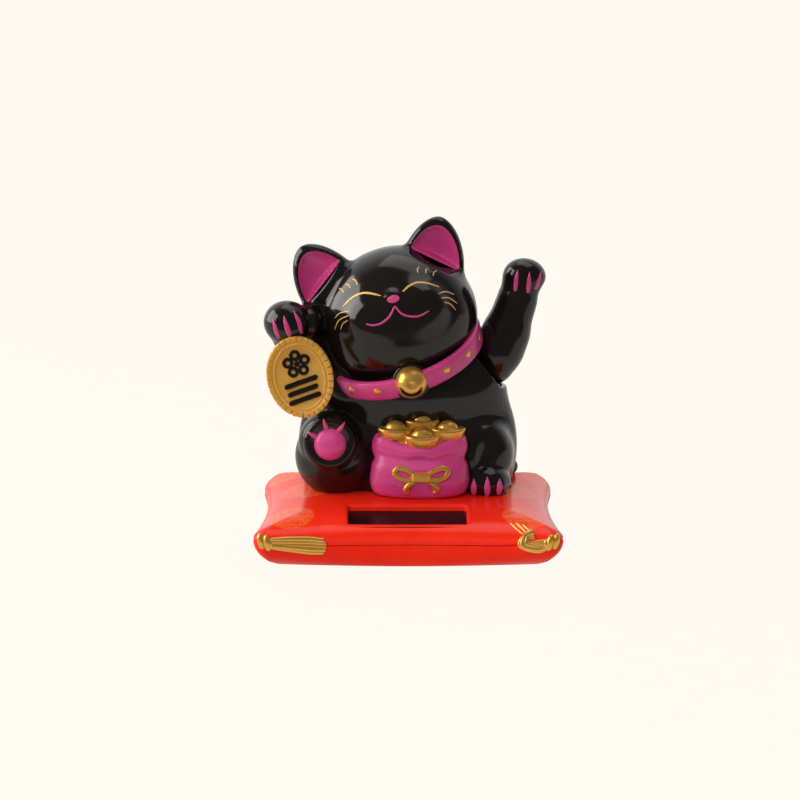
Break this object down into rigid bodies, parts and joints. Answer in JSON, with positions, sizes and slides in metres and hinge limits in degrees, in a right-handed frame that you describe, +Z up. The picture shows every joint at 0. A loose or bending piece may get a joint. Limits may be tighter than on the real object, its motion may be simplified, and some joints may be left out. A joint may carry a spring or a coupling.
{
  "type": "beckoning cat figurine",
  "caption": "Solar-powered beckoning cat: hollow two-shell cat with a coin and a money bag on a cushion base, one arm swinging on a magnet-driven pendulum.",
  "frame": {"origin": "middle of the footprint, on the surface that the rubber feet stand on", "axes": "+Z up, the face looks along -Y, +X to the viewer's right; the waving arm is on the +X side"},
  "size_m": [0.106, 0.0794, 0.1166],
  "materials": {
    "red_shell": "gloss",
    "red_base_underside": "gloss",
    "black_shell": "gloss",
    "gold_paint": "satin",
    "black_relief": "gloss",
    "pink_paint": "gloss",
    "panel_glass": "gloss",
    "cell_film": "satin",
    "board_laminate": "satin",
    "epoxy": "gloss",
    "capacitor_sleeve": "satin",
    "bobbin_plastic": "matte",
    "copper_winding": "gloss",
    "lead_sleeve": "satin",
    "screw_steel": "satin",
    "feet_rubber": "matte",
    "bracket_plastic": "matte",
    "pin_steel": "polished",
    "magnet_nickel": "polished",
    "weight_steel": "satin"
  },
  "bodies": {
    "figure": {"base_top_shell": "red_shell", "base_bottom_shell": "red_base_underside", "base_screws": "screw_steel", "rubber_feet": "feet_rubber", "solar_panel": "panel_glass", "solar_cell": "cell_film", "circuit_board": "board_laminate", "driver_chip": "epoxy", "storage_capacitor": "capacitor_sleeve", "board_screws": "screw_steel", "coil_bobbin": "bobbin_plastic", "drive_coil": "copper_winding", "solar_leads": "lead_sleeve", "coil_leads": "copper_winding", "tassel_front_left": "gold_paint", "tassel_front_right": "gold_paint", "tassel_rear_left": "gold_paint", "tassel_rear_right": "gold_paint", "cat_front_shell": "black_shell", "cat_rear_shell": "black_shell", "cat_screws": "screw_steel", "ear_lining_left": "pink_paint", "ear_lining_right": "pink_paint", "nose": "pink_paint", "sole_pad": "pink_paint", "raised_paw_claws": "pink_paint", "foot_claws": "pink_paint", "collar": "pink_paint", "collar_bell": "gold_paint", "coin": "gold_paint", "coin_emblem": "black_relief", "money_bag": "pink_paint", "gold_ingots": "gold_paint", "bag_bow": "gold_paint", "pivot_bracket": "bracket_plastic", "bracket_screws": "screw_steel"},
    "arm": {"arm_front_half": "black_shell", "arm_rear_half": "black_shell", "arm_claws": "pink_paint", "arm_screw": "screw_steel", "pendulum_lever": "bracket_plastic", "pivot_pin": "pin_steel", "drive_magnet": "magnet_nickel", "counterweight": "weight_steel"}
  },
  "joints": [
    {"name": "arm_swing", "type": "hinge", "parent": "figure", "child": "arm", "pos_m": [0.025, 0.015, 0.05], "axis": [1, 0, 0], "range_deg": [-12, 12]}
  ]
}
